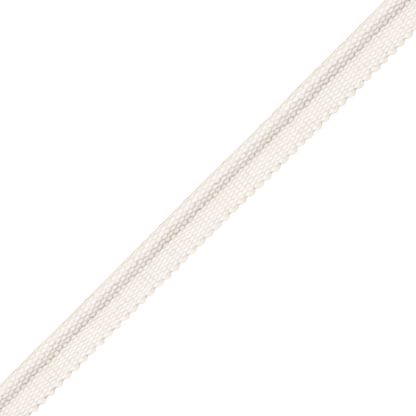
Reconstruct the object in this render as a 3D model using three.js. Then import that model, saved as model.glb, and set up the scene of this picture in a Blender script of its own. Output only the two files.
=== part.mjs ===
// A straight cut length of flanged piping trim, lying flat.
// One narrow woven tape is folded lengthwise round a filler cord: its middle makes the round bead,
// and its two halves lie on each other as the flange. Both selvedges are scalloped.
// Millimetres. +X runs along the trim, the bead is at +Y, the flange points to -Y, and +Z is up.
// The origin is at the middle of the underside.
import * as THREE from "three";

// Driving dimensions
const OVERALL_WIDTH = 16.1;
const BEAD_DIAMETER = 6.3;
const SCALLOP_PITCH = 4.24;
const SCALLOP_COUNT = 57;
const SCALLOP_DEPTH = 1.35;
const TAPE_THICKNESS = 1.0;
const LAYER_GAP = 0.3;

// How the flange leaves the bead and comes down to the surface
const FLANGE_RISE = 0.85;
const FLAT_REACH = 5.6;
const CREASE_BEND = 0.8;
const UNDER_BEND = 1.1;
const BEAD_FLAT = 0.12;

// The lower layer's selvedge lies a little behind the upper one. Its scallops are further on,
// by this share of their pitch.
const LOWER_SETBACK = 0.35;
const LOWER_SHIFT = 0.28;

// Mesh steps
const ARC_STEPS = 6;
const SCALLOPS_PER_STEP = 3;
const BEAD_STEPS = 22;
const BEND_STEPS = 4;
const SLOPE_STEPS = 6;
const SHORTEST_STEP = 0.05;
const CORD_SIDES = 20;

// How far the bead's outer edge and the scallop tips stand out from a straight line
const UNEVENNESS = [
  { along: -121, bead: 0.1, tips: 0.02 },
  { along: -90, bead: 0.12, tips: -0.06 },
  { along: -60, bead: -0.04, tips: -0.28 },
  { along: -30, bead: -0.02, tips: -0.14 },
  { along: -5, bead: 0.1, tips: -0.18 },
  { along: 28, bead: -0.16, tips: 0.2 },
  { along: 60, bead: 0.1, tips: 0.34 },
  { along: 90, bead: 0.02, tips: 0.18 },
  { along: 121, bead: 0.06, tips: 0.22 },
];

// Worked out from the sizes above
const LENGTH = SCALLOP_COUNT * SCALLOP_PITCH;
const HALF = TAPE_THICKNESS / 2;
const BEAD_R = BEAD_DIAMETER / 2;
const MIDDLE_R = BEAD_R - HALF;
const CORD_R = BEAD_R - TAPE_THICKNESS - LAYER_GAP;
const BEAD_Y = OVERALL_WIDTH / 2 - BEAD_R;
const BEAD_Z = BEAD_R - BEAD_FLAT;
const TIP_Y = -OVERALL_WIDTH / 2;
const LOWER_Z = HALF;
const UPPER_Z = HALF + TAPE_THICKNESS + LAYER_GAP;
const FLAT_Y = TIP_Y + FLAT_REACH;
const CREASE_Y = BEAD_Y - BEAD_R;

// Keeps the origin at the middle of the uneven trim
const SIDE_SHIFT = (mostOf("tips") - mostOf("bead")) / 2;

function mostOf(column) {
  return Math.max(...UNEVENNESS.map((row) => row[column]));
}

// The place across the trim where a layer at a given height would meet the bead's middle circle
function meetsBead(z) {
  return BEAD_Y - Math.sqrt(MIDDLE_R ** 2 - (z - BEAD_Z) ** 2);
}

// The angle round the bead, from +Y towards +Z, of a point on its middle circle
function beadAngle(y, z) {
  return Math.atan2(z - BEAD_Z, y - BEAD_Y);
}

// One layer from the flat part of the flange up to the bead, and the turn into the bead.
// It gives the middle line of the cloth as points, and the angle at which the bead goes on.
function layerLine(flatZ, bend, side) {
  const topZ = flatZ + FLANGE_RISE;
  const cornerY = meetsBead(topZ);
  const turnAngle = beadAngle(cornerY, topZ) + (side * bend) / MIDDLE_R;
  const bendStart = new THREE.Vector2(cornerY - bend, topZ);
  const slope = new THREE.CubicBezierCurve(
    new THREE.Vector2(FLAT_Y, flatZ),
    new THREE.Vector2((FLAT_Y + bendStart.x) / 2, flatZ),
    new THREE.Vector2((FLAT_Y + bendStart.x) / 2, topZ),
    bendStart,
  );
  const turn = new THREE.QuadraticBezierCurve(
    bendStart,
    new THREE.Vector2(cornerY, topZ),
    onBead(turnAngle),
  );
  const points = [...slope.getPoints(SLOPE_STEPS), ...turn.getPoints(BEND_STEPS).slice(1)];
  return { points, turnAngle };
}

function onBead(angle) {
  return new THREE.Vector2(
    BEAD_Y + MIDDLE_R * Math.cos(angle),
    BEAD_Z + MIDDLE_R * Math.sin(angle),
  );
}

// The middle line of the folded tape: up the upper layer, over the bead, and out along the lower one
function foldLine() {
  const upper = layerLine(UPPER_Z, CREASE_BEND, -1);
  const lower = layerLine(LOWER_Z, UNDER_BEND, 1);
  const from = upper.turnAngle + (upper.turnAngle < 0 ? 2 * Math.PI : 0);
  const to = lower.turnAngle;
  const bead = [];
  for (let i = 1; i < BEAD_STEPS; i++) {
    bead.push(onBead(from + ((to - from) * i) / BEAD_STEPS));
  }
  return [...upper.points, ...bead, ...lower.points.reverse()];
}

// The same line moved sideways by half the cloth's thickness: +1 is the outside of the fold
function offsetLine(line, side) {
  return line.map((point, i) => {
    const before = line[Math.max(i - 1, 0)];
    const after = line[Math.min(i + 1, line.length - 1)];
    const normal = new THREE.Vector2(before.y - after.y, after.x - before.x).normalize();
    const moved = point.clone().addScaledVector(normal, side * HALF);
    moved.y = Math.max(moved.y, 0);
    return moved;
  });
}

// A value from the unevenness table, eased between its rows
function uneven(along, column) {
  const next = UNEVENNESS.findIndex((row) => row.along > along);
  if (next < 1) return UNEVENNESS.at(next === 0 ? 0 : -1)[column];
  const [a, b] = [UNEVENNESS[next - 1], UNEVENNESS[next]];
  const share = THREE.MathUtils.smoothstep(along, a.along, b.along);
  return THREE.MathUtils.lerp(a[column], b[column], share);
}

// A point of the straight trim at its place in the uneven one
function place(x, y, z) {
  const towardsBead = THREE.MathUtils.clamp((y - TIP_Y) / (CREASE_Y - TIP_Y), 0, 1);
  const shift = THREE.MathUtils.lerp(-uneven(x, "tips"), uneven(x, "bead"), towardsBead);
  return new THREE.Vector3(x, y + shift + SIDE_SHIFT, z);
}

// How far a scalloped selvedge stands out, from 0 in a notch to SCALLOP_DEPTH at a tip
function scallop(phase) {
  const radius = (SCALLOP_PITCH ** 2 / 4 + SCALLOP_DEPTH ** 2) / (2 * SCALLOP_DEPTH);
  const fromTip = ((((phase % 1) + 1) % 1) - 0.5) * SCALLOP_PITCH;
  return Math.sqrt(radius ** 2 - fromTip ** 2) - (radius - SCALLOP_DEPTH);
}

// Places along the trim for a scalloped rail: the cut ends and every step of each scallop's arc
function arcStations(shift) {
  const stations = [-LENGTH / 2];
  for (let i = 0; i < SCALLOP_COUNT * ARC_STEPS; i++) {
    const x = -LENGTH / 2 + (i / ARC_STEPS + shift) * SCALLOP_PITCH;
    if (Math.abs(x) < LENGTH / 2 - SHORTEST_STEP) stations.push(x);
  }
  return [...stations, LENGTH / 2];
}

function selvedgeRail(z, shift, setback) {
  return arcStations(shift).map((x) => {
    const phase = (x + LENGTH / 2) / SCALLOP_PITCH - shift;
    return place(x, TIP_Y + setback + SCALLOP_DEPTH - scallop(phase), z);
  });
}

function plainRail(point) {
  const steps = SCALLOP_COUNT / SCALLOPS_PER_STEP;
  return Array.from({ length: steps + 1 }, (_, i) =>
    place((i / steps - 0.5) * LENGTH, point.x, point.y),
  );
}

// A closed solid whose skin runs over rails along X, joined side by side, with a flat face at each end
function solidOverRails(rails) {
  const points = [];
  const faces = [];
  const starts = rails.map((rail) => points.push(...rail) - rail.length);
  rails.forEach((rail, k) => {
    const other = (k + 1) % rails.length;
    faces.push(...bandBetween(rail, starts[k], rails[other], starts[other]));
  });
  const firsts = starts;
  const lasts = rails.map((rail, k) => starts[k] + rail.length - 1);
  const outline = firsts.map((i) => new THREE.Vector2(points[i].y, points[i].z));
  for (const [a, b, c] of THREE.ShapeUtils.triangulateShape(outline, [])) {
    faces.push([firsts[a], firsts[c], firsts[b]], [lasts[a], lasts[b], lasts[c]]);
  }
  return new THREE.BufferGeometry().setFromPoints(points).setIndex(faces.flat());
}

// Triangles between two rails that may have different numbers of points
function bandBetween(rail, start, other, otherStart) {
  const faces = [];
  let [i, j] = [0, 0];
  while (i < rail.length - 1 || j < other.length - 1) {
    const next = i < rail.length - 1 ? rail[i + 1].x : Infinity;
    const otherNext = j < other.length - 1 ? other[j + 1].x : Infinity;
    if (next <= otherNext) {
      faces.push([start + i, start + i + 1, otherStart + j]);
      i += 1;
    } else {
      faces.push([start + i, otherStart + j + 1, otherStart + j]);
      j += 1;
    }
  }
  return faces;
}

function tapeGeometry() {
  const line = foldLine();
  const outside = offsetLine(line, 1).map(plainRail);
  const inside = offsetLine(line, -1).map(plainRail).reverse();
  return solidOverRails([
    selvedgeRail(UPPER_Z + HALF, 0, 0),
    ...outside,
    selvedgeRail(LOWER_Z - HALF, LOWER_SHIFT, LOWER_SETBACK),
    selvedgeRail(LOWER_Z + HALF, LOWER_SHIFT, LOWER_SETBACK),
    ...inside,
    selvedgeRail(UPPER_Z - HALF, 0, 0),
  ]);
}

function cordGeometry() {
  const rails = [];
  for (let i = 0; i < CORD_SIDES; i++) {
    const angle = (-2 * Math.PI * i) / CORD_SIDES;
    rails.push(
      plainRail(
        new THREE.Vector2(BEAD_Y + CORD_R * Math.cos(angle), BEAD_Z + CORD_R * Math.sin(angle)),
      ),
    );
  }
  return solidOverRails(rails);
}

function piece(name, geometry, color) {
  const mesh = new THREE.Mesh(
    geometry,
    new THREE.MeshStandardMaterial({ color, roughness: 0.95, metalness: 0 }),
  );
  mesh.name = name;
  return mesh;
}

const trim = new THREE.Group();
trim.add(piece("piping_tape", tapeGeometry(), 0xf5efe8));
trim.add(piece("filler_cord", cordGeometry(), 0xf2ebe0));

export default trim;
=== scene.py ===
import math
from typing import NamedTuple

import bpy
import numpy as np
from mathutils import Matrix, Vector


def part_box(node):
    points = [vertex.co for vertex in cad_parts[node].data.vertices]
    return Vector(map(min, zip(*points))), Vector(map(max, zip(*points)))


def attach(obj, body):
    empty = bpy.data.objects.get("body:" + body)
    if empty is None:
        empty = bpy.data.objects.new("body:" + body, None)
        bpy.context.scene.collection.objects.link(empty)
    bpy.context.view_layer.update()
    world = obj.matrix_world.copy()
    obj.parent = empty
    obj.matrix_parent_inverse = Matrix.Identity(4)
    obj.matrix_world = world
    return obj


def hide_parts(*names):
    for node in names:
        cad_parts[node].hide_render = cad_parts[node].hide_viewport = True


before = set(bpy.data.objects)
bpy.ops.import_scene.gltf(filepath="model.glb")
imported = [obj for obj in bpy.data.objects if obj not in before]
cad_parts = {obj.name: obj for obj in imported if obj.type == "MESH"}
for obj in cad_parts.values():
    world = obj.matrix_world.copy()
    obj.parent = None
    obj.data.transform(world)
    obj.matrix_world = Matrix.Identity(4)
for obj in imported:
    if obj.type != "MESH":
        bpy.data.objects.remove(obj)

bl_info = {
    "name": "Flanged piping trim",
    "version": (1, 0, 0),
    "blender": (4, 5, 0),
    "location": "3D View > Sidebar > Piping",
    "description": "A cut length of woven cotton piping: corded bead, doubled flange, scalloped selvedges",
    "category": "Add Mesh",
}

# Sizes of the folded tape in millimetres, as the solids have them

MM = 0.001
OVERALL_WIDTH = 16.1
BEAD_DIAMETER = 6.3
SCALLOP_PITCH = 4.24
TAPE_THICKNESS = 1.0
LAYER_GAP = 0.3
FLANGE_RISE = 0.85
FLAT_REACH = 5.6
CREASE_BEND = 0.8
UNDER_BEND = 1.1
BEAD_FLAT = 0.12
LOWER_SETBACK = 0.35
LOWER_SHIFT = 0.28

HALF = TAPE_THICKNESS / 2
BEAD_R = BEAD_DIAMETER / 2
MIDDLE_R = BEAD_R - HALF
BEAD_Y = OVERALL_WIDTH / 2 - BEAD_R
BEAD_Z = BEAD_R - BEAD_FLAT
TIP_Y = -OVERALL_WIDTH / 2
LOWER_Z = HALF
UPPER_Z = HALF + TAPE_THICKNESS + LAYER_GAP
FLAT_Y = TIP_Y + FLAT_REACH
CREASE_Y = BEAD_Y - BEAD_R

# How far the bead's outer edge and the scallop tips stand out from a straight line
UNEVEN_ALONG = (-121, -90, -60, -30, -5, 28, 60, 90, 121)
UNEVEN_BEAD = (0.1, 0.12, -0.04, -0.02, 0.1, -0.16, 0.1, 0.02, 0.06)
UNEVEN_TIPS = (0.02, -0.06, -0.28, -0.14, -0.18, 0.2, 0.34, 0.18, 0.22)
# How much wider than usual the scallops are, to each side
UNEVEN_LOBES = (-0.22, -0.2, -0.06, 0.12, 0.2, 0.18, 0.1, 0.02, 0)
SIDE_SHIFT = (max(UNEVEN_TIPS) - max(UNEVEN_BEAD)) / 2

# The length is that of the solid, and each scallop is made by two picks of weft.
LOW_CORNER, HIGH_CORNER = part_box("piping_tape")
LENGTH = (HIGH_CORNER.x - LOW_CORNER.x) / MM
SCALLOPS = round(LENGTH / SCALLOP_PITCH)
PICKS = 2 * SCALLOPS
PICK_PITCH = SCALLOP_PITCH / 2

# Steps of the fold line, and how far it goes on past the tips
SLOPE_STEPS = 40
TURN_STEPS = 20
BEAD_STEPS = 160
BEYOND_TIPS = 3.0


def bezier(points, steps):
    """Points along a Bezier curve of any degree."""
    t = np.linspace(0, 1, steps + 1)[:, None]
    n = len(points) - 1
    return sum(
        math.comb(n, i) * (1 - t) ** (n - i) * t**i * np.array(p, float)
        for i, p in enumerate(points)
    )


def on_bead(angle):
    """Point of the bead's middle circle at an angle from +Y towards +Z."""
    return (BEAD_Y + MIDDLE_R * math.cos(angle), BEAD_Z + MIDDLE_R * math.sin(angle))


def layer_line(flat_z, bend, side):
    """One layer from the flat of the flange up to the bead, and the angle at which the bead goes on."""
    top_z = flat_z + FLANGE_RISE
    corner_y = BEAD_Y - math.sqrt(MIDDLE_R**2 - (top_z - BEAD_Z) ** 2)
    turn = math.atan2(top_z - BEAD_Z, corner_y - BEAD_Y) + side * bend / MIDDLE_R
    start_y = corner_y - bend
    mid_y = (FLAT_Y + start_y) / 2
    slope = bezier(((FLAT_Y, flat_z), (mid_y, flat_z), (mid_y, top_z), (start_y, top_z)), SLOPE_STEPS)
    bent = bezier(((start_y, top_z), (corner_y, top_z), on_bead(turn)), TURN_STEPS)
    return np.vstack((slope, bent[1:])), turn


def fold_line():
    """Middle line of the folded tape in Y and Z, from beyond the upper tips to beyond the lower ones."""
    upper, upper_turn = layer_line(UPPER_Z, CREASE_BEND, -1)
    lower, lower_turn = layer_line(LOWER_Z, UNDER_BEND, 1)
    start = upper_turn + (2 * math.pi if upper_turn < 0 else 0)
    bead = [on_bead(a) for a in np.linspace(start, lower_turn, BEAD_STEPS + 1)[1:-1]]
    first = [(TIP_Y - BEYOND_TIPS, UPPER_Z), (TIP_Y, UPPER_Z)]
    last = [(TIP_Y + LOWER_SETBACK, LOWER_Z), (TIP_Y + LOWER_SETBACK - BEYOND_TIPS, LOWER_Z)]
    return np.vstack((first, upper, bead, lower[::-1], last))


# FOLD_S is the place of each point across the flat tape, from 0 at the upper tips. FOLD_ANGLES is the
# line's direction at FOLD_MIDS, halfway between two points.
FOLD = fold_line()
FOLD_S = np.concatenate(([0], np.cumsum(np.hypot(*np.diff(FOLD, axis=0).T)))) - BEYOND_TIPS
TAPE_WIDTH = FOLD_S[-1] - BEYOND_TIPS
FOLD_MIDS = (FOLD_S[1:] + FOLD_S[:-1]) / 2
FOLD_ANGLES = np.unwrap(np.arctan2(*np.diff(FOLD, axis=0).T[::-1]))

# Where the fold turns up into the bead, where it is on top, and where the lower layer leaves the bead
UPPER_POINTS = 2 + SLOPE_STEPS + TURN_STEPS
CREASE_S = float(np.interp(CREASE_Y, FOLD[:UPPER_POINTS, 0], FOLD_S[:UPPER_POINTS]))
CROWN_S = CREASE_S + math.pi / 2 * MIDDLE_R
LOWER_WIDER = 1.2  # than the upper layer of the flange, up to the bead
BEAD_END_S = TAPE_WIDTH - CREASE_S - LOWER_WIDER


def smooth(share):
    """A share from 0 to 1, eased at both ends."""
    share = np.clip(share, 0, 1)
    return share * share * (3 - 2 * share)


def eased(x, values):
    """A row of the unevenness table, eased between its places."""
    along = np.array(UNEVEN_ALONG, float)
    i = np.clip(np.searchsorted(along, x) - 1, 0, len(along) - 2)
    t = smooth((x - along[i]) / (along[i + 1] - along[i]))
    v = np.array(values)
    return v[i] * (1 - t) + v[i + 1] * t


def uneven(x, y, z):
    """Points of the straight trim at their places in the uneven one, in metres."""
    towards_bead = np.clip((y - TIP_Y) / (CREASE_Y - TIP_Y), 0, 1)
    tips, bead = -eased(x, UNEVEN_TIPS), eased(x, UNEVEN_BEAD)
    return np.stack((x, y + tips + (bead - tips) * towards_bead + SIDE_SHIFT, z), -1) * MM


def outward(s):
    """The cloth's outside direction in Y and Z at a place across the flat tape."""
    angle = np.interp(s, FOLD_MIDS, FOLD_ANGLES)
    return -np.sin(angle), np.cos(angle)


def folded(x, s, h):
    """Places in the folded trim of points of the flat tape: x along it, s across it from the upper
    tips, and h above its middle towards the outside of the fold. Gives the points and the outsides."""
    x, s, h = np.broadcast_arrays(*(np.asarray(v, float) for v in (x, s, h)))
    side_y, side_z = outward(s)
    y = np.interp(s, FOLD_S, FOLD[:, 0]) + h * side_y
    z = np.interp(s, FOLD_S, FOLD[:, 1]) + h * side_z
    return uneven(x, y, z), np.stack((np.zeros_like(x), side_y, side_z), -1)


# The weave, in millimetres on the flat tape

SELVEDGE = 1.5  # from the scallop tips to the last warp
STRETCH_EASE = 1.2  # over which the warps draw apart
PLACING_STEPS = 2000  # in which the distances between warps are summed up
PICK_JITTER = 0.11
PICK_BOW = 0.1
BOW_WAVE = 0.45  # radians of the bow for each millimetre across the tape
SEED = 11  # each group of pieces counts on from here to a seed of its own


def stretch(s):
    """1 where the tape is drawn round the cord, 0 on the flange."""
    inside = np.minimum(s - CREASE_S, BEAD_END_S - s)
    return smooth(inside / STRETCH_EASE + 0.5)


def warp_places(sizes):
    """Places across the flat tape of all warps, wider apart where the tape is drawn round the cord."""
    s = np.linspace(SELVEDGE, TAPE_WIDTH - SELVEDGE, PLACING_STEPS)
    pitch = (sizes.warp_pitch + (sizes.bead_pitch - sizes.warp_pitch) * stretch(s)) / MM
    passed = np.concatenate(([0], np.cumsum(np.diff(s) * (1 / pitch[1:] + 1 / pitch[:-1]) / 2)))
    return np.interp(np.linspace(0, passed[-1], round(passed[-1]) + 1), passed, s)


def skew(s):
    """How far the picks slant along the trim over the middle half of the tape's width. That sets the
    lower layer's scallops off the upper ones."""
    return (LOWER_SHIFT - 0.5) * SCALLOP_PITCH * smooth((s / TAPE_WIDTH - 0.25) / 0.5)


def pick_places(s):
    """Places along the trim of all picks, one row for each place across the tape."""
    rng = np.random.default_rng(SEED)
    p = np.arange(-1, PICKS + 1)
    even = -LENGTH / 2 + (p + 0.5) * PICK_PITCH
    jitter = rng.normal(0, PICK_JITTER, len(p))
    bow, phase = rng.normal(0, PICK_BOW, len(p)), rng.uniform(0, 2 * math.pi, len(p))
    s = np.atleast_1d(np.asarray(s, float))[:, None]
    return even + jitter + bow * np.sin(s * BOW_WAVE + phase) + skew(s)


def smooth_noise(rng, rows, count, every):
    """Rows of noise of about unit size that change slowly, once in so many steps."""
    knots = rng.normal(0, 1, (rows, count // every + 3))
    at = np.arange(count) / every
    i = at.astype(int)
    t = smooth(at - i)
    return knots[:, i] * (1 - t) + knots[:, i + 1] * t


# Painted shade in the grooves between the yarns and on whole warps, across the tape

# Painted shade in the grooves between the yarns: on the flange, up the bead from the crease, and past its
# crown
SHADE_FLANGE = 0.6
SHADE_INNER = 0.85
SHADE_OUTER = 0.48
INNER_FROM = 1.5  # starts so far before the crease
INNER_EASE = 1.2
OUTER_BY = 1.2  # is reached so far past the crown
OUTER_EASE = 1.6

# Height of a smooth hump, how far it lies past the crease or crown, and its width
# More painted shade in the grooves at the crease
MORE_SHADE_AT_CREASE = (0.4, -0.05, 0.5)
# Painted shade on whole warps beside the crown, in the crease and on the bead's outer side
SHADE_BY_CROWN = (0.22, -0.15, 0.7)
SHADE_BY_CREASE = (0.18, -0.25, 0.6)
SHADE_OUTSIDE_BEAD = (0.15, 3.3, 1.6)


def hump(s, place, height, past, width):
    """A smooth hump over a place across the tape."""
    return height * np.exp(-(((s - place - past) / width) ** 2))


def shade_across(s):
    """How strong the painted shade in the cloth's grooves is at a place across the tape: most where it
    turns up the bead from the crease, less on the flange and over the bead's outer side."""
    rise = smooth((s - CREASE_S + INNER_FROM) / INNER_EASE)
    fall = smooth((CROWN_S + OUTER_BY - s) / OUTER_EASE)
    upper = SHADE_FLANGE + (SHADE_INNER - SHADE_FLANGE) * rise
    return SHADE_OUTER + (upper - SHADE_OUTER) * fall + hump(s, CREASE_S, *MORE_SHADE_AT_CREASE)


def warp_shade_tone(s):
    """Painted shade on whole warps, in the deeper colour: beside the bead's crown, in the crease and on the
    bead's outer side.
    """
    tone = hump(s, CROWN_S, *SHADE_BY_CROWN) + hump(s, CREASE_S, *SHADE_BY_CREASE)
    return tone + hump(s, CROWN_S, *SHADE_OUTSIDE_BEAD)


# Meshes

GROOVE_TOP = 0.42  # points this far from the cloth's middle lie in no groove and get no painted groove shade
CREASE_SHADE = 0.9  # painted shade over a whole yarn, by this share of its groove shade above 1
INNER_SHADE = 0.3  # of a yarn's side that faces into the fold
INNER_SPREAD = 1.5  # how soon round the yarn that shade is full

# What the map for baking leaves free at each yarn's ends and sides, as a share of the yarn
END_MARGIN = 0.01
SIDE_MARGIN = 0.04

SMOOTH_ANGLE = math.radians(60)  # keeps the edge of a cut end sharp


def new_piece(name, points, faces):
    """A mesh object of points and faces, with its place in its mesh."""
    mesh = bpy.data.meshes.new(name)
    mesh.from_pydata(points, [], faces)
    mesh.update()
    piece = bpy.data.objects.new(name, mesh)
    bpy.context.scene.collection.objects.link(piece)
    return piece


def grid_faces(index):
    """Four-cornered faces over a grid of point numbers."""
    corners = (index[:-1, :-1], index[1:, :-1], index[1:, 1:], index[:-1, 1:])
    return np.stack(corners, -1).reshape(-1, 4)


def yarn_piece(
    name, centre, outside, half_width, half_height, level, shade_share, sides, tone, columns=1, crest=None
):
    """Joined tubes, one for each row: centre and outside are rows of points and directions, and the
    half sizes are across the yarn. level is how high the yarn lies above the cloth's middle, the share
    after it is how strong the painted shade in the grooves beside it is, and crest is how high that
    shade reaches. Gives each point its yarn's tone, which for the warps holds painted shade too, and
    its painted groove shade, by how deep it lies in the grooves of the cloth."""
    rows, rings = centre.shape[:2]
    along = np.gradient(centre, axis=1)
    along /= np.linalg.norm(along, axis=-1, keepdims=True)
    wide = np.cross(outside, along)
    wide /= np.linalg.norm(wide, axis=-1, keepdims=True)
    high = np.cross(along, wide)
    angle = np.linspace(0, 2 * math.pi, sides, endpoint=False)
    a = (half_width * MM)[..., None, None] * np.cos(angle)[:, None]
    b = (half_height * MM)[..., None, None] * np.sin(angle)[:, None]
    points = centre[:, :, None] + a * wide[:, :, None] + b * high[:, :, None]
    index = np.arange(rows * rings * sides).reshape(rows, rings, sides)
    turned = np.roll(index, -1, axis=2)
    quads = np.stack((index[:, :-1], turned[:, :-1], turned[:, 1:], index[:, 1:]), -1)
    faces = quads.reshape(-1, 4).tolist()
    faces += index[:, 0, ::-1].tolist() + index[:, -1].tolist()
    piece = new_piece(name, points.reshape(-1, 3).tolist(), faces)
    add_maps(piece, points, half_width, half_height, sides, columns)
    # Painted shade: in the grooves between yarns, over whole yarns where the shade share passes 1, and on
    # the sides that face into the fold.
    height = np.abs(level[..., None] + half_height[..., None] * np.sin(angle))
    crest = np.array(GROOVE_TOP) if crest is None else crest[..., None]
    groove_shade = np.clip(1 - height / crest, 0, 1) * shade_share[..., None]
    groove_shade = groove_shade + CREASE_SHADE * np.clip(shade_share - 1, 0, 1)[..., None]
    groove_shade = np.maximum(groove_shade, INNER_SHADE * np.clip(-INNER_SPREAD * np.sin(angle), 0, 1))
    add_values(piece, "tone", np.repeat(tone, rings * sides))
    add_values(piece, "groove_shade", groove_shade.ravel())
    return piece


def add_values(piece, name, values):
    """An attribute of the piece's points."""
    attribute = piece.data.attributes.new(name, "FLOAT", "POINT")
    attribute.data.foreach_set("value", np.asarray(values, np.float32))


def within(share, margin):
    """A share from 0 to 1 at its place between two margins."""
    return margin + (1 - 2 * margin) * share


def add_maps(piece, points, half_width, half_height, sides, columns):
    """lay_mm holds millimetres along and round each yarn. OFBake lays the yarns out side by side, in
    so many columns."""
    rows, rings = points.shape[:2]
    steps = np.linalg.norm(np.diff(points.mean(2), axis=1), axis=-1) / MM
    along = np.concatenate((np.zeros((rows, 1)), np.cumsum(steps, axis=1)), 1)
    girth = math.pi * float((half_width + half_height).mean())
    row = np.arange(rows)[:, None, None]
    side = np.arange(sides)[None, None]
    stacked = -(-rows // columns)
    share = along / along[:, -1:]
    lay, flat = [], []
    for ahead, onward in ((0, 0), (0, 1), (1, 1), (1, 0)):
        at = along[:, ahead : rings - 1 + ahead, None]
        part = share[:, ahead : rings - 1 + ahead, None]
        turn = (side + onward) / sides
        lay.append(np.stack(np.broadcast_arrays(at, (row + turn) * girth), -1))
        u = (row // stacked + within(part, END_MARGIN)) / columns
        v = (row % stacked + within(turn, SIDE_MARGIN)) / stacked
        flat.append(np.stack(np.broadcast_arrays(u, v), -1))
    caps = rows * sides
    for name, corners in (("lay_mm", lay), ("OFBake", flat)):
        body = np.stack(corners, -2).reshape(-1, 2)
        first = corners[0][:, 0, ::-1].reshape(caps, 2)
        last = corners[3][:, -1].reshape(caps, 2)
        values = np.vstack((body, first, last)).astype(np.float32)
        layer = piece.data.uv_layers.new(name=name)
        layer.data.foreach_set("uv", values.ravel())


def finish_piece(piece, material, slot, *nodes):
    """Smooth shading, material, body and the solids that the piece stands for. The slot is not used."""
    bpy.ops.object.select_all(action="DESELECT")
    bpy.context.view_layer.objects.active = piece
    piece.select_set(True)
    bpy.ops.object.shade_smooth_by_angle(angle=SMOOTH_ANGLE)
    piece.data.materials.append(material)
    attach(piece, "root")
    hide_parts(*nodes)


# Materials

# The cotton's pattern, on a map in millimetres along and round each yarn
FIBRE_ANGLE = math.radians(25)  # to the yarn, as spinning lays the fibres
FIBRE_SLIMNESS = 0.18  # width of a fibre's pattern to its length
WAVE_BANDS = 3.2  # of a wave texture of scale 1, in each unit
CLOUDS = 0.9  # patches of tone for each millimetre
MOTTLE = 0.43  # share of the deep colour where fibres and clouds have most
GROOVE_POWER = 1.9  # above 1, the painted groove shade stays faint until deep in a groove
PLY_SHADE = 0.11
FIBRE_SHADE = 0.12
RELIEF = 0.09 * MM

# Width of a fibre and of a ply, in millimetres. A real fibre of 0.02 mm is too fine to show in the
# render, so the fibres are drawn as coarse as they need to show.
YARN_FIBRE, YARN_PLY = 0.12, 0.5
FILLER_FIBRE, FILLER_PLY = 0.16, 0.8


def linear(value):
    """An sRGB hex value as a linear colour."""
    parts = [int(value[i : i + 2], 16) / 255 for i in (1, 3, 5)]
    return [c / 12.92 if c <= 0.04045 else ((c + 0.055) / 1.055) ** 2.4 for c in parts] + [1.0]


def add_node(tree, kind, inputs=None, **settings):
    """Adds a node, makes its settings, and fills or links its inputs."""
    made = tree.nodes.new(kind)
    for name, value in settings.items():
        setattr(made, name, value)
    for name, value in (inputs or {}).items():
        if isinstance(value, bpy.types.NodeSocket):
            tree.links.new(value, made.inputs[name])
        else:
            made.inputs[name].default_value = value
    return made


def new_material(name):
    """A material without nodes, and its node tree."""
    material = bpy.data.materials.new(name)
    material.use_nodes = True
    material.node_tree.nodes.clear()
    return material, material.node_tree


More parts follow.
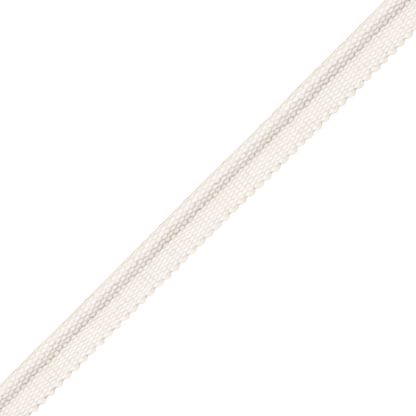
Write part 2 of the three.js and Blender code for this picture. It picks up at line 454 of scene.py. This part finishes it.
def cotton_yarn(name, pale, deep, shade_colour, fibre_pitch, ply_pitch):
    """Spun cotton: matt, with fibres that wind round the yarn, soft plies and a faint bloom of fuzz."""
    material, tree = new_material(name)
    lay = add_node(tree, "ShaderNodeUVMap", uv_map="lay_mm").outputs["UV"]
    wound = add_node(
        tree,
        "ShaderNodeMapping",
        {"Vector": lay, "Rotation": (0, 0, FIBRE_ANGLE), "Scale": (FIBRE_SLIMNESS, 1.0, 1.0)},
    ).outputs["Vector"]
    fibres = add_node(
        tree,
        "ShaderNodeTexNoise",
        {"Vector": wound, "Scale": 1 / fibre_pitch, "Detail": 4.0, "Roughness": 0.65},
    ).outputs["Fac"]
    plies = add_node(
        tree,
        "ShaderNodeTexWave",
        {"Vector": wound, "Scale": 1 / (ply_pitch * WAVE_BANDS), "Distortion": 1.5, "Detail": 1.0},
        bands_direction="Y",
    ).outputs["Fac"]
    clouds = add_node(
        tree, "ShaderNodeTexNoise", {"Vector": lay, "Scale": CLOUDS, "Detail": 3.0}
    ).outputs["Fac"]
    # The yarn's own tone, with fibres and clouds of the deeper colour. The warps' tone also holds painted
    # shade beside the bead's crown, in the crease and on its outer side.
    tone = add_node(tree, "ShaderNodeAttribute", attribute_name="tone").outputs["Fac"]
    mixed = add_node(tree, "ShaderNodeMath", {0: fibres, 1: clouds}, operation="MULTIPLY").outputs[0]
    share = add_node(
        tree, "ShaderNodeMath", {0: mixed, 1: MOTTLE, 2: tone}, operation="MULTIPLY_ADD"
    ).outputs[0]
    body = add_node(
        tree,
        "ShaderNodeMix",
        {"Factor": share, "A": pale, "B": deep},
        data_type="RGBA",
        clamp_factor=True,
    ).outputs["Result"]
    # Painted shade: browner deep between two yarns, and a little darker between two plies and between
    # fibres.
    groove_shade = add_node(tree, "ShaderNodeAttribute", attribute_name="groove_shade").outputs["Fac"]
    shading = add_node(
        tree, "ShaderNodeMath", {0: groove_shade, 1: GROOVE_POWER}, operation="POWER"
    ).outputs[0]
    furrows = add_node(
        tree,
        "ShaderNodeMapRange",
        {"Value": plies, "From Max": 0.45, "To Min": PLY_SHADE, "To Max": 0.0},
    ).outputs["Result"]
    dips = add_node(
        tree,
        "ShaderNodeMapRange",
        {"Value": fibres, "From Min": 0.3, "From Max": 0.5, "To Min": FIBRE_SHADE, "To Max": 0.0},
    ).outputs["Result"]
    fine_shade = add_node(tree, "ShaderNodeMath", {0: furrows, 1: dips}, operation="ADD").outputs[0]
    shading = add_node(tree, "ShaderNodeMath", {0: shading, 1: fine_shade}, operation="ADD").outputs[0]
    colour = add_node(
        tree,
        "ShaderNodeMix",
        {"Factor": shading, "A": body, "B": shade_colour},
        data_type="RGBA",
        clamp_factor=True,
    ).outputs["Result"]
    # Plies and fibres stand out a little, and the surface is matt all over.
    relief = add_node(
        tree, "ShaderNodeMath", {0: plies, 1: 0.8, 2: fibres}, operation="MULTIPLY_ADD"
    ).outputs[0]
    bump = add_node(
        tree, "ShaderNodeBump", {"Height": relief, "Strength": 0.9, "Distance": RELIEF}
    ).outputs["Normal"]
    rough = add_node(
        tree, "ShaderNodeMapRange", {"Value": fibres, "To Min": 0.82, "To Max": 0.96}
    ).outputs["Result"]
    shader = add_node(
        tree,
        "ShaderNodeBsdfPrincipled",
        {
            "Base Color": colour,
            "Roughness": rough,
            "Normal": bump,
            "IOR": 1.5,
            "Specular IOR Level": 0.25,
            "Sheen Weight": 0.05,
            "Sheen Roughness": 0.5,
        },
    )
    add_node(tree, "ShaderNodeOutputMaterial", {"Surface": shader.outputs["BSDF"]})
    return material


def yarn_material():
    """The tape's yarn, made once. Natural cotton is a warm white, with painted tan shade between the yarns.
    """
    colours = bpy.context.scene.piping_colours
    chosen = (tuple(colours.yarn_pale), tuple(colours.yarn_deep), tuple(colours.yarn_shade))
    name = "spun_cotton_yarn"
    return bpy.data.materials.get(name) or cotton_yarn(name, *chosen, YARN_FIBRE, YARN_PLY)


def filler_material():
    """Loose, coarse cotton of the filler, a little yellower than the tape and with lighter painted shade
    between its strands.
    """
    colours = bpy.context.scene.piping_colours
    chosen = (tuple(colours.filler_pale), tuple(colours.filler_deep), tuple(colours.filler_shade))
    return cotton_yarn("loose_cotton_filler", *chosen, FILLER_FIBRE, FILLER_PLY)


def paper_material():
    """Matt white paper under the trim: no shine, and even from edge to edge. A little light of its own
    keeps it white in the picture."""
    material, tree = new_material("matt_white_paper")
    shader = add_node(
        tree,
        "ShaderNodeBsdfPrincipled",
        {
            "Base Color": tuple(bpy.context.scene.piping_colours.floor),
            "Roughness": 0.9,
            "Specular IOR Level": 0.1,
            "Emission Color": (1, 1, 1, 1),
            "Emission Strength": 0.25,
        },
    )
    add_node(tree, "ShaderNodeOutputMaterial", {"Surface": shader.outputs["BSDF"]})
    return material


# User settings


def length_setting(name, description, default_mm):
    """A length in metres, with its default given in millimetres."""
    return bpy.props.FloatProperty(
        name=name,
        description=description,
        default=default_mm * MM,
        min=0.01 * MM,
        precision=5,
        subtype="DISTANCE",
        unit="LENGTH",
    )


def colour_setting(name, description, default_hex):
    """A linear colour, with its default given as an sRGB hex value."""
    return bpy.props.FloatVectorProperty(
        name=name,
        description=description,
        default=linear(default_hex),
        size=4,
        min=0,
        max=1,
        subtype="COLOR",
    )


class PIPING_PG_sizes(bpy.types.PropertyGroup):
    """Sizes of the yarns and how they lie"""

    warp_pitch: length_setting("Warp pitch", "Distance between warps on the flange", 0.66)
    bead_pitch: length_setting("Bead pitch", "Distance between warps round the bead", 0.785)
    warp_width: length_setting("Warp width", "Width of a warp where it floats over a pick", 1.02)
    warp_height: length_setting("Warp height", "Thickness of a warp", 0.48)
    warp_wave: length_setting("Warp wave", "How far a warp rises above the cloth's middle", 0.25)
    weft_width: length_setting("Weft width", "Width of the flat bundle of a pick", 1.75)
    weft_height: length_setting("Weft height", "Thickness of a pick", 0.26)
    loop_width: length_setting("Loop width", "Width of one weft end in a selvedge loop", 0.42)
    filler_pitch: length_setting("Filler twist", "Length of one turn of the filler's strands", 24.0)


class PIPING_PG_colours(bpy.types.PropertyGroup):
    """Colours of the yarns, the filler and the floor"""

    # The groove colours are painted shade between yarns and strands; the yarn's deeper colour also holds
    # the warps' painted shade.
    yarn_pale: colour_setting("Yarn", "Pale colour of the tape's yarns", "#FCF9F6")
    yarn_deep: colour_setting("Yarn, deeper", "Colour that mottles the tape's yarns", "#E5D8C4")
    yarn_shade: colour_setting("Yarn grooves", "Colour deep between the tape's yarns", "#94795C")
    filler_pale: colour_setting("Filler", "Pale colour of the filler's strands", "#F6F0E6")
    filler_deep: colour_setting("Filler, deeper", "Colour that mottles the filler's strands", "#C0A779")
    filler_shade: colour_setting("Filler grooves", "Colour between the filler's strands", "#D8CAB4")
    floor: colour_setting("Floor", "Colour of the studio floor", "#FBFBFA")


# Pieces


class PIPING_OT_warps(bpy.types.Operator):
    """The lengthwise yarns: each goes over one pick and under the next, neighbours the other way"""

    bl_idname = "object.piping_add_warps"
    bl_label = "Add warps"

    SIDES = 8
    STEPS = 4  # rings of a warp for each pick
    FLATNESS = 1.2  # more gives flatter floats and steeper crossings
    NARROWEST = 0.62  # share of its width where a warp crosses from one face to the other
    THICKEST = 1.04  # share of its thickness there
    WIDER_ON_BEAD = 0.1
    TONE = 0.013
    # Unevenness: shares of the rise and of the width, and millimetres to either side
    UNEVEN_RISE, UNEVEN_WIDTH, WANDER = 0.1, 0.07, 0.07
    SWELL_RINGS, WANDER_RINGS = 5, 11  # over which they change

    def execute(self, context):
        sizes = context.scene.piping_sizes
        places = warp_places(sizes)
        count = len(places)
        rings = PICKS * self.STEPS + 1
        rng = np.random.default_rng(SEED + 1)
        x = np.linspace(-LENGTH / 2, LENGTH / 2, rings)
        picks = pick_places(places)
        phase = np.stack([np.interp(x, row, np.arange(-0.5, PICKS + 1)) for row in picks])
        side = np.where(np.arange(count) % 2, -1.0, 1.0)[:, None]
        wave = np.tanh(self.FLATNESS * np.sin(math.pi * phase)) / math.tanh(self.FLATNESS) * side
        uneven_rise = self.UNEVEN_RISE * smooth_noise(rng, count, rings, self.SWELL_RINGS)
        level = sizes.warp_wave / MM * (1 + uneven_rise) * wave
        across = places[:, None] + self.WANDER * smooth_noise(rng, count, rings, self.WANDER_RINGS)
        floating = np.abs(wave)
        thick = self.THICKEST + (1 - self.THICKEST) * floating
        half_height = sizes.warp_height / MM / 2 * thick
        centre, outside = folded(x[None], across, level)
        # The table holds back the crowns that reach it.
        centre[..., 2] = np.maximum(centre[..., 2], half_height * MM)
        swell = 1 + self.UNEVEN_WIDTH * smooth_noise(rng, count, rings, self.SWELL_RINGS)
        wide = self.NARROWEST + (1 - self.NARROWEST) * floating
        drawn = 1 + self.WIDER_ON_BEAD * stretch(across)
        half_width = sizes.warp_width / MM / 2 * wide * swell * drawn
        # Each warp's tone: a random part, plus painted shade beside the bead's crown, in the crease and on
        # its outer side
        tone = rng.uniform(-self.TONE, self.TONE, count) + warp_shade_tone(places)
        shade_share = shade_across(across)
        groups = {
            "warps_upper_flange": places < CREASE_S,
            "warps_bead": (places >= CREASE_S) & (places < BEAD_END_S),
            "warps_lower_flange": places >= BEAD_END_S,
        }
        for name, mine in groups.items():
            rows = [v[mine] for v in (centre, outside, half_width, half_height, level, shade_share)]
            piece = yarn_piece(name, *rows, self.SIDES, tone[mine])
            finish_piece(piece, yarn_material(), "woven_cotton", "piping_tape")
        return {"FINISHED"}


class PIPING_OT_wefts(bpy.types.Operator):
    """The crosswise yarns, a flat bundle of ends for each pick"""

    bl_idname = "object.piping_add_wefts"
    bl_label = "Add wefts"

    SIDES = 8
    GIVES_WAY = 0.04  # millimetres, away from each warp that crosses it
    TONE = 0.02
    MAP_COLUMNS = 3

    def execute(self, context):
        sizes = context.scene.piping_sizes
        s = warp_places(sizes)
        x = pick_places(s)[:, 1:-1].T
        rng = np.random.default_rng(SEED + 2)
        warp, pick = np.meshgrid(np.arange(len(s)), np.arange(PICKS))
        level = -self.GIVES_WAY * np.where((warp + pick) % 2, -1.0, 1.0)
        centre, outside = folded(x, s[None], level)
        half_width = np.full(x.shape, sizes.weft_width / MM / 2)
        half_height = np.full(x.shape, sizes.weft_height / MM / 2)
        tone = rng.uniform(-self.TONE, self.TONE, PICKS)
        rows = (centre, outside, half_width, half_height, level, shade_across(s)[None])
        piece = yarn_piece("weft_picks", *rows, self.SIDES, tone, columns=self.MAP_COLUMNS)
        finish_piece(piece, yarn_material(), "woven_cotton", "piping_tape")
        return {"FINISHED"}


class Selvedge(NamedTuple):
    """One edge of the tape: its piece, the place of its last warp and the way from there to the tips,
    the first pick that turns back, how much further its loops reach, and how far to either side of
    its picks each nested end lies, from the outermost one inwards."""

    piece: str
    last_warp: float
    away: int
    first_pick: int
    longer: float
    ends: tuple


class PIPING_OT_selvedges(bpy.types.Operator):
    """The scallops: at each selvedge the weft's ends turn back in nested loops, one lobe for two picks"""

    bl_idname = "object.piping_add_selvedges"
    bl_label = "Add selvedge loops"

    EDGES = (
        Selvedge(
            piece="loops_upper_selvedge",
            last_warp=SELVEDGE,
            away=-1,
            first_pick=0,
            longer=0.42,
            ends=(0.52, 0.16, -0.2, -0.56, -0.86),
        ),
        Selvedge(
            piece="loops_lower_selvedge",
            last_warp=TAPE_WIDTH - SELVEDGE,
            away=1,
            first_pick=1,
            longer=-0.14,
            ends=(0.86, 0.5, 0.14, -0.22, -0.58, -0.88),
        ),
    )
    STEPS = 8
    SIDES = 6
    TUCK = 1.1  # how far the ends run in under the warps
    TUCKED_WIDTH = 0.25  # share of an end's width there
    THICKNESS = 0.88  # share of its width
    NESTING = 0.36  # from one end to the next at the tip of a scallop
    SHORTEST = 0.12  # reach of the innermost end
    ROUNDNESS = 0.8  # below 1, the lobes have fuller shoulders
    TILT = 0.16  # lifts one side of a lobe over its neighbour
    LEAN = 0.28  # of the lobes along the trim
    # Unevenness of the lobes' reach, width, lean and ends' heights, in millimetres
    UNEVEN_REACH, UNEVEN_SPREAD, UNEVEN_LEAN, UNEVEN_HEIGHT = 0.07, 0.08, 0.12, 0.03
    TONE = 0.033
    # Painted shade in the loops' grooves, and more painted shade on the outermost ends beside the notches
    LOOP_SHADE = 0.85
    NOTCH_SHADE = 0.55
    NOTCH_SPAN = 1.2  # above 1, the painted notch shade covers more of an outermost end
    NOTCH_POWER = 3
    MAP_COLUMNS = 10

    def loops(self, edge, yarn):
        """Rows of flat-tape points of all loops of one selvedge: along, across and above the tape."""
        rng = np.random.default_rng(SEED + 3 + edge.first_pick)
        picks = pick_places([edge.last_warp])[0, 1:-1]
        turn = np.linspace(0, math.pi, self.STEPS + 1)
        tuck_s = edge.last_warp - edge.away * self.TUCK
        rows = []
        for start in range(edge.first_pick, PICKS - 1, 2):
            left, right = picks[start], picks[start + 1]
            middle, half = (left + right) / 2, (right - left) / 2
            reach = SELVEDGE - yarn / 2 + edge.longer + rng.normal(0, self.UNEVEN_REACH)
            spread = rng.normal(0, self.UNEVEN_SPREAD) + eased(middle, UNEVEN_LOBES)
            lean = rng.normal(self.LEAN, self.UNEVEN_LEAN)
            for end, offset in enumerate(edge.ends):
                wide = half + offset + spread
                far = max(reach - end * self.NESTING, self.SHORTEST)
                x = middle - wide * np.cos(turn) + lean * np.sin(turn) * far / reach
                s = edge.last_warp + edge.away * far * np.sin(turn) ** self.ROUNDNESS
                h = -edge.away * self.TILT * np.cos(turn) + rng.normal(0, self.UNEVEN_HEIGHT)
                first, last = (middle - wide, tuck_s, 0.0), (middle + wide, tuck_s, 0.0)
                rows.append(np.vstack((first, np.stack((x, s, h), -1), last)))
        return np.moveaxis(np.array(rows), -1, 0)

    def execute(self, context):
        yarn = context.scene.piping_sizes.loop_width / MM
        rng = np.random.default_rng(SEED + 5)
        for edge in self.EDGES:
            x, s, h = self.loops(edge, yarn)
            centre, outside = folded(x, s, h)
            half_width = np.full(x.shape, yarn / 2)
            half_width[:, (0, -1)] *= self.TUCKED_WIDTH
            half_height = half_width * self.THICKNESS
            tone = rng.uniform(-self.TONE, self.TONE, len(x))
            # Painted shade on the outermost ends beside the notches, where two scallops meet.
            outermost = (np.arange(len(x)) % len(edge.ends) == 0)[:, None]
            span = np.linspace(-self.NOTCH_SPAN, self.NOTCH_SPAN, x.shape[1])
            notch_shade = np.clip(np.abs(span) ** self.NOTCH_POWER, 0, 1)
            shade_share = self.LOOP_SHADE + self.NOTCH_SHADE * outermost * notch_shade
            rows = (centre, outside, half_width, half_height, 0 * h, shade_share)
            piece = yarn_piece(
                edge.piece, *rows, self.SIDES, tone, columns=self.MAP_COLUMNS, crest=half_height
            )
            finish_piece(piece, yarn_material(), "woven_cotton", "piping_tape")
        return {"FINISHED"}


class PIPING_OT_web(bpy.types.Operator):
    """The closed web of spread weft fibres between the yarns"""

    bl_idname = "object.piping_add_web"
    bl_label = "Add web"

    COLUMNS = 90
    HALF_THICKNESS = 0.05
    INSIDE_ENDS = 0.4
    PAST_WARPS = 0.1
    TONE = 0.05

    def execute(self, context):
        side = SELVEDGE - self.PAST_WARPS
        end = LENGTH / 2 - self.INSIDE_ENDS
        s = np.linspace(side, TAPE_WIDTH - side, self.COLUMNS)
        x = np.linspace(-end, end, SCALLOPS + 1)
        middle, outside = folded(x[:, None], s[None], 0.0)
        out = outside * (self.HALF_THICKNESS * MM)
        points = np.vstack(((middle + out).reshape(-1, 3), (middle - out).reshape(-1, 3)))
        rows, columns = middle.shape[:2]
        top = np.arange(rows * columns).reshape(rows, columns)
        below = rows * columns
        faces = grid_faces(top).tolist() + grid_faces(top + below)[:, ::-1].tolist()
        rim = np.concatenate((top[0, :-1], top[:-1, -1], top[-1, :0:-1], top[:0:-1, 0]))
        onward = np.roll(rim, -1)
        faces += np.stack((rim, onward, onward + below, rim + below), -1).tolist()
        piece = new_piece("tape_web", points.tolist(), faces)
        add_values(piece, "tone", np.full(len(points), self.TONE))
        # Painted groove shade: the web lies deep between the yarns.
        add_values(piece, "groove_shade", np.tile(np.minimum(shade_across(s), 1), 2 * rows))
        flat = np.stack(np.broadcast_arrays(x[:, None], s[None]), -1).reshape(-1, 2)
        corners = np.array([loop.vertex_index for loop in piece.data.loops])
        layer = piece.data.uv_layers.new(name="lay_mm")
        layer.data.foreach_set("uv", np.vstack((flat, flat))[corners].astype(np.float32).ravel())
        finish_piece(piece, yarn_material(), "woven_cotton", "piping_tape")
        yarns = ["warps_upper_flange", "warps_bead", "warps_lower_flange", "weft_picks"]
        yarns += ["loops_upper_selvedge", "loops_lower_selvedge"]
        return {"FINISHED"}


class PIPING_OT_filler(bpy.types.Operator):
    """The filler cord: soft cotton strands laid up round a core strand"""

    bl_idname = "object.piping_add_filler"
    bl_label = "Add filler cord"

    RINGS = 161
    SIDES = 12
    OUTER = 7  # strands round the core strand
    RADIUS = 2.12
    STRAND = RADIUS / 3.1  # half a strand's width, so that the strands press into each other
    UNEVEN_WIDTH = 0.05
    SWELL_RINGS = 8
    TONE = 0.033

    def execute(self, context):
        sizes = context.scene.piping_sizes
        x = np.linspace(-LENGTH / 2, LENGTH / 2, self.RINGS)
        lie = np.append(np.full(self.OUTER, self.RADIUS - self.STRAND), 0.0)[:, None]
        start = np.append(np.arange(self.OUTER) * 2 * math.pi / self.OUTER, 0.0)[:, None]
        angle = start + 2 * math.pi * x[None] / (sizes.filler_pitch / MM)
        y = BEAD_Y + lie * np.cos(angle)
        z = BEAD_Z + lie * np.sin(angle)
        centre = uneven(np.broadcast_to(x[None], y.shape), y, z)
        outside = np.stack((np.zeros_like(y), np.cos(angle), np.sin(angle)), -1)
        rng = np.random.default_rng(SEED + 6)
        swell = 1 + self.UNEVEN_WIDTH * smooth_noise(rng, len(y), self.RINGS, self.SWELL_RINGS)
        half = self.STRAND * swell
        tone = rng.uniform(-self.TONE, self.TONE, len(y))
        # Thicker strands get more painted shade between them, so half a strand is also the share of that
        # painted shade.
        rows = (centre, outside, half, half, 0 * half, half)
        piece = yarn_piece("filler_strands", *rows, self.SIDES, tone, crest=half)
        finish_piece(piece, filler_material(), "filler_cotton", "filler_cord")
        return {"FINISHED"}


# Studio

PHOTO_FIELD = 149.8 * MM  # width of the picture at the height of the flange
FIELD_HEIGHT = 2.0 * MM
ALONG_SHIFT = -2.0 * MM  # puts the scallops where the photo has them
TURN = math.radians(-45)
LENS = 135.0
SENSOR = 36.0

FLOOR_SIZE = 4.0
FLOOR_DROP = 0.05 * MM  # just below the yarns that lie lowest
ROOM_LIGHT = 0.6
LAMPS_FACE = Vector((0.0, 0.0, 0.0))
# Name, place, side of the square and power of each lamp
LAMPS = (
    ("window_side", (0.0, 0.72, 0.72), 0.3, 0.35),
    ("overhead", (0.0, 0.0, 1.0), 0.6, 5.6),
)


class PIPING_OT_studio(bpy.types.Operator):
    """White floor, soft light from above and from the bead's side, and the camera straight above"""

    bl_idname = "object.piping_add_studio"
    bl_label = "Add studio"

    def execute(self, context):
        scene = context.scene
        self.floor()
        world = bpy.data.worlds.new("soft_white_room")
        world.use_nodes = True
        background = world.node_tree.nodes["Background"]
        background.inputs["Color"].default_value = (1, 1, 1, 1)
        background.inputs["Strength"].default_value = ROOM_LIGHT
        scene.world = world
        for lamp in LAMPS:
            self.soft_light(scene, *lamp)
        self.camera(scene)
        scene.view_settings.view_transform = "Standard"
        scene.view_settings.look = "None"
        return {"FINISHED"}

    def floor(self):
        bpy.ops.object.select_all(action="DESELECT")
        bpy.ops.mesh.primitive_plane_add(size=FLOOR_SIZE, location=(0, 0, -FLOOR_DROP))
        floor = bpy.context.active_object
        floor.name = "studio_floor"
        bpy.ops.object.transform_apply(location=True, rotation=True, scale=True)
        floor.data.materials.append(paper_material())

    def soft_light(self, scene, name, place, size, power):
        """A square lamp that faces the trim."""
        light = bpy.data.lights.new(name, "AREA")
        light.shape = "SQUARE"
        light.size = size
        light.energy = power
        lamp = bpy.data.objects.new(name, light)
        lamp.location = place
        lamp.rotation_mode = "QUATERNION"
        lamp.rotation_quaternion = (LAMPS_FACE - Vector(place)).to_track_quat("-Z", "Y")
        scene.collection.objects.link(lamp)

    def camera(self, scene):
        data = bpy.data.cameras.new("camera")
        data.lens = LENS
        data.sensor_width = SENSOR
        data.clip_start, data.clip_end = 0.01, 20.0
        camera = bpy.data.objects.new("camera", data)
        camera.location = (ALONG_SHIFT, 0.0, PHOTO_FIELD * LENS / SENSOR + FIELD_HEIGHT)
        camera.rotation_euler = (0.0, 0.0, TURN)
        scene.collection.objects.link(camera)
        scene.camera = camera


class PIPING_PT_panel(bpy.types.Panel):
    """Lists what the trim is made of"""

    bl_idname = "PIPING_PT_panel"
    bl_label = "Piping trim"
    bl_space_type = "VIEW_3D"
    bl_region_type = "UI"
    bl_category = "Piping"

    def draw(self, context):
        for group in (context.scene.piping_sizes, context.scene.piping_colours):
            column = self.layout.column(align=True)
            for name in group.__annotations__:
                column.prop(group, name)
        for operator in OPERATORS:
            self.layout.operator(operator.bl_idname)


GROUPS = (PIPING_PG_sizes, PIPING_PG_colours)
OPERATORS = (
    PIPING_OT_warps,
    PIPING_OT_wefts,
    PIPING_OT_selvedges,
    PIPING_OT_filler,
    PIPING_OT_web,
    PIPING_OT_studio,
)
CLASSES = (*GROUPS, *OPERATORS, PIPING_PT_panel)


def register():
    for cls in CLASSES:
        bpy.utils.register_class(cls)
    bpy.types.Scene.piping_sizes = bpy.props.PointerProperty(type=PIPING_PG_sizes)
    bpy.types.Scene.piping_colours = bpy.props.PointerProperty(type=PIPING_PG_colours)


def unregister():
    del bpy.types.Scene.piping_colours
    del bpy.types.Scene.piping_sizes
    for cls in reversed(CLASSES):
        bpy.utils.unregister_class(cls)


def main():
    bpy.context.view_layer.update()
    register()
    bpy.ops.object.piping_add_warps()
    bpy.ops.object.piping_add_wefts()
    bpy.ops.object.piping_add_selvedges()
    bpy.ops.object.piping_add_filler()
    bpy.ops.object.piping_add_web()
    bpy.ops.object.piping_add_studio()


if __name__ == "__main__":
    main()
